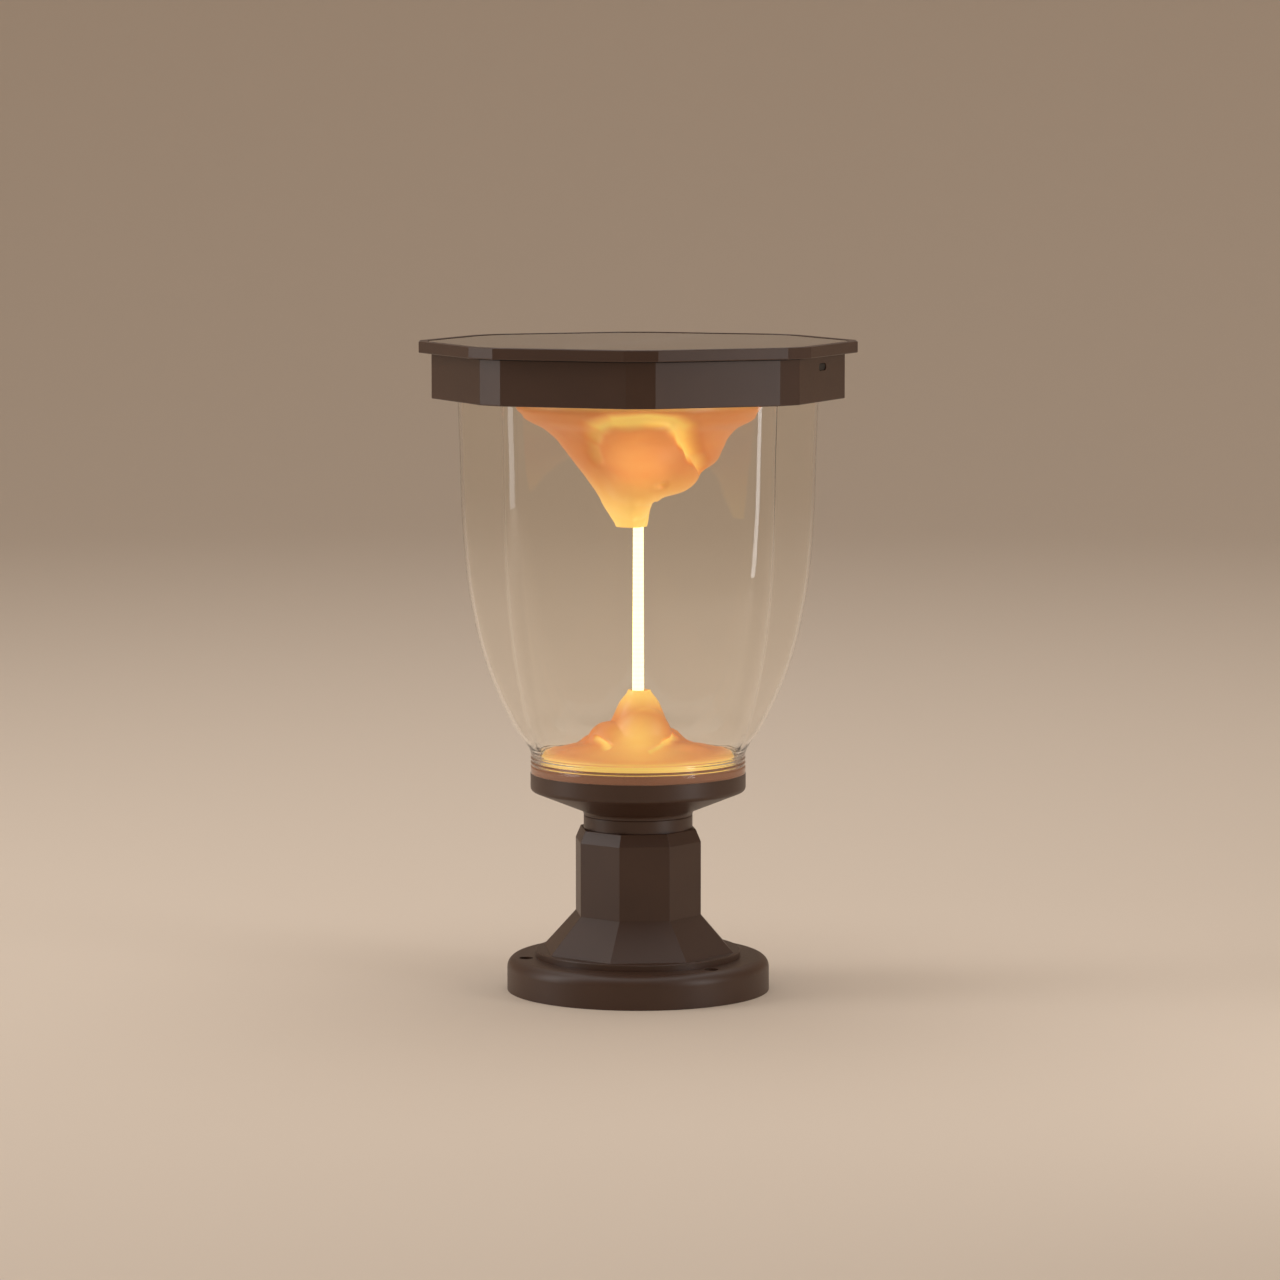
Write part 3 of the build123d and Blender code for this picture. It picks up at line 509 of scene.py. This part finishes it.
bowl = {
    "rows": [  # height and corner radius in mm, and how round the outline is: 1 is a circle
        (280.3, 82.5, 0.25), (273.3, 82.5, 0.25), (250.0, 81.7, 0.25), (226.0, 81.1, 0.26), (205.0, 79.9, 0.28),
        (185.0, 77.8, 0.31), (165.0, 74.0, 0.38), (150.0, 69.7, 0.46), (135.0, 63.8, 0.6), (122.0, 57.1, 0.8),
        (110.5, 49.5, 1.0),
    ],
    "wall": 2.6,
    "flange": (278.1, 84.7),  # underside and radius
    "flangeStep": 0.1,  # height of the row that turns from the wall to the flange
    "neckTop": 110.5,
    "grooves": [108.85, 106.75, 104.65],
    "grooveMm": (0.8, 0.45),  # half height and depth
    "grooveFlat": 0.35,
    "flatShare": 0.55,  # points on a flat, the rest on its two corners
    "floor": (100.9, 103.9),  # underside and top
    "hole": 30.0,
    "steps": 224,
    "rowMm": 2.5,
    "neckRowMm": 0.2,
}


def bowlPoint(angle, height, shrink):
    corner, roundness = smoothRow(bowl["rows"], height)
    half = math.pi / 8  # half of one of the eight sectors
    flat = corner / ((1 - roundness) / math.cos(half) + roundness) - shrink
    bend = roundness * (flat + shrink) - shrink
    if not shrink:
        for middle in bowl["grooves"]:
            halfHeight, deep = bowl["grooveMm"]
            cut = deep * softBump((height - middle) / halfHeight, bowl["grooveFlat"])
            flat, bend = flat - cut, bend - cut
    sector = math.floor(angle / (2 * half)) + 0.5
    across = (angle - sector * 2 * half) / half
    share = bowl["flatShare"] * (1 - roundness)
    side = (flat - bend) * math.tan(half)
    if abs(across) < share:
        x, y = flat, side * across / share
    else:
        swing = math.copysign((abs(across) - share) / (1 - share) * half, across)
        x = flat - bend + bend * math.cos(swing)
        y = math.copysign(side, across) + bend * math.sin(swing)
    turn = sector * 2 * half
    return x * math.cos(turn) - y * math.sin(turn), x * math.sin(turn) + y * math.cos(turn)


def makeBowl(material):
    top, neck, hole = bowl["rows"][0][0], bowl["neckTop"], bowl["hole"]
    flangeFoot, flangeRadius = bowl["flange"]
    under, floor = bowl["floor"]
    outer, inner = 2, 1  # stand-in radii, until each skin gets its shape
    between = (outer - inner) / 2
    step = bowl["flangeStep"]
    bm = bmesh.new()
    edges = addProfile(bm, [(outer, level) for level in (top, flangeFoot, flangeFoot - step, neck, under)]
                       + [(hole, under), (hole, floor)] + [(inner, level) for level in (floor, neck, top)])
    wallRows, neckRows = int((top - neck) / bowl["rowMm"]), int((neck - under) / bowl["neckRowMm"])
    for edge, cuts in ((edges[2], wallRows), (edges[3], neckRows), (edges[8], wallRows)):
        bmesh.ops.subdivide_edges(bm, edges=[edge], cuts=cuts)
    spinRound(bm, bowl["steps"])
    for vert in bm.verts:
        standIn = vert.co.xy.length / mm
        if standIn > outer + between:
            continue
        height, angle = vert.co.z / mm, math.atan2(vert.co.y, vert.co.x)
        if standIn > inner + between and height > flangeFoot - step / 2:
            x, y = flangeRadius * math.cos(angle), flangeRadius * math.sin(angle)
        else:
            x, y = bowlPoint(angle, height, bowl["wall"] if standIn < inner + between else 0.0)
        vert.co.x, vert.co.y = x * mm, y * mm
    makePiece(bm, "glass_bowl", material, "clear_bowl")


# the film of sealant that the bowl stands in: it wets the bowl's foot, so it shows through it; its pale tan is partly
# painted warm glow and painted reflection of the bronze tray
# radius and height, mm
footSeal = [(49.0, 100.9), (49.0, 101.05), (46.5, 101.05), (46.5, 105.3), (45.9, 105.3), (45.9, 100.9)]


def makeFootSeal(material):
    bm = bmesh.new()
    addProfile(bm, footSeal)
    spinRound(bm, bowl["steps"])
    makePiece(bm, "foot_seal", material)


# the cells under the pane: strips across the lid, square to its walls as in the photograph
# they are trimmed to the lid's sixteen sides, wide walls and narrow corner facets by turns

cells = {"count": 6, "gap": 1.2, "sides": 16, "wall": 86.1, "facet": 90.8,
         "low": 297.35, "high": 297.45, "ribbonTop": 297.55}


def makeCells(material):
    pitch = 2 * cells["wall"] / cells["count"]
    middles = [(i + 0.5) * pitch - cells["wall"] for i in range(cells["count"])]
    slabs = [(middle, pitch - cells["gap"], cells["low"], cells["high"]) for middle in middles]
    slabs.append((0, solarCell["ribbonMm"], cells["high"], cells["ribbonTop"]))  # the ribbon bridges the middle gap
    turn = Matrix.Rotation(math.radians(solarCell["turn"]), 4, "Z")
    bm = bmesh.new()
    for middle, width, low, high in slabs:
        place = Matrix.Translation(Vector((middle, 0, (low + high) / 2)) * mm)
        size = Matrix.Diagonal((width, 2 * cells["facet"], high - low, 1))
        bmesh.ops.create_cube(bm, size=mm, matrix=turn @ place @ size)
    for i in range(cells["sides"]):
        angle = i * math.tau / cells["sides"]
        side = Vector((math.cos(angle), math.sin(angle), 0))
        reach = cells["wall" if i % 2 else "facet"]
        bmesh.ops.bisect_plane(bm, geom=bm.verts[:] + bm.edges[:] + bm.faces[:], plane_co=side * reach * mm,
                               plane_no=side, clear_outer=True)
        bmesh.ops.holes_fill(bm, edges=[edge for edge in bm.edges if edge.is_boundary])
    makePiece(bm, "cell_strips", material, "solar_cells")


resin = makeAmberResin()
makeAmber(drip, "amber_drip", resin, "drip")
makeAmber(mound, "amber_mound", resin, "mound")
makeBowl(makeClearAcrylic())
# gun-applied sealant: matte tan, which reads as a brown band through the bowl; the tan is partly painted light,
# standing in for warm glow and the bronze tray's reflection in the foot
makeFootSeal(makePlain("tanSealantPaintedGlow", "#b07a58", 0.6, 0.8))
makeCells(makeSolarCell())
print("drip, mound, bowl, seal and cells done")


# studio: pale sweep all round, two softboxes and a ceiling light

studio = {
    "floor": "#dac9b7",
    "rough": 0.9,
    "flatM": 2.6,
    "curveM": 1.5,
    "curveSteps": 12,
    "wallM": 3.2,
    "steps": 96,
    "lamps": [  # place, size, watts and spread in degrees; each aims at the bowl's middle
        ((-1.49, -0.14, 0.75), (0.56, 1.6), 5.9, 150),
        ((0.62, -0.42, 0.26), (0.13, 0.48), 0.55, 120),
        ((0.0, 0.3, 2.2), (2.2, 2.2), 24, 180),
    ],
    "aim": (0, 0, 0.18),
    "air": "#f3ece4",
    "airLevel": 0.5,
}


def makeStudio():
    # painted studio sweep: matte and pale, so that only the soft shadow shows
    material = newMaterial("matteSweep", {
        "Base Color": linearColor(studio["floor"]), "Roughness": studio["rough"]})[0]
    flat, curve = studio["flatM"], studio["curveM"]
    turns = [math.pi / 2 * i / studio["curveSteps"] for i in range(1, studio["curveSteps"] + 1)]
    points = [(0, 0), (flat, 0)]
    points += [(flat + curve * math.sin(turn), curve * (1 - math.cos(turn))) for turn in turns]
    points += [(flat + curve, studio["wallM"])]
    bm = bmesh.new()
    addProfile(bm, [(x / mm, z / mm) for x, z in points], closed=False)
    spinRound(bm, studio["steps"])
    bmesh.ops.recalc_face_normals(bm, faces=bm.faces)
    for face in bm.faces:
        face.smooth = True
    mesh = bpy.data.meshes.new("sweep")
    bm.to_mesh(mesh)
    bm.free()
    mesh.materials.append(material)
    sweep = bpy.data.objects.new("sweep", mesh)
    bpy.context.scene.collection.objects.link(sweep)
    for place, size, watts, spread in studio["lamps"]:
        light = bpy.data.lights.new("softbox", "AREA")
        light.shape = "RECTANGLE"
        light.size, light.size_y = size
        light.energy = watts
        light.spread = math.radians(spread)
        lamp = bpy.data.objects.new("softbox", light)
        lamp.visible_camera = lamp.visible_transmission = False  # not seen, nor through the bowl
        lamp.location = place
        lamp.rotation_euler = (Vector(studio["aim"]) - Vector(place)).to_track_quat("-Z", "Y").to_euler()
        bpy.context.scene.collection.objects.link(lamp)
    world = bpy.data.worlds.new("studioWorld")
    world.use_nodes = True
    background = world.node_tree.nodes["Background"]
    background.inputs["Color"].default_value = linearColor(studio["air"])
    background.inputs["Strength"].default_value = studio["airLevel"]
    bpy.context.scene.world = world


# camera, fitted to the photograph: metres and degrees
shot = {"lensMm": 140.54, "away": 2.2846, "height": 0.3978, "down": 5.895, "turn": -0.73, "side": 0.00087}


def makeCamera():
    data = bpy.data.cameras.new("camera")
    data.lens = shot["lensMm"]
    camera = bpy.data.objects.new("camera", data)
    turn = Matrix.Rotation(math.radians(shot["turn"]), 4, "Z")
    camera.location = turn @ Vector((shot["side"], -shot["away"], shot["height"]))
    camera.rotation_euler = (math.radians(90 - shot["down"]), 0, math.radians(shot["turn"]))
    bpy.context.scene.collection.objects.link(camera)
    bpy.context.scene.camera = camera


makeStudio()
makeCamera()
bpy.context.scene.view_settings.view_transform = "Standard"
print("studio and camera done")
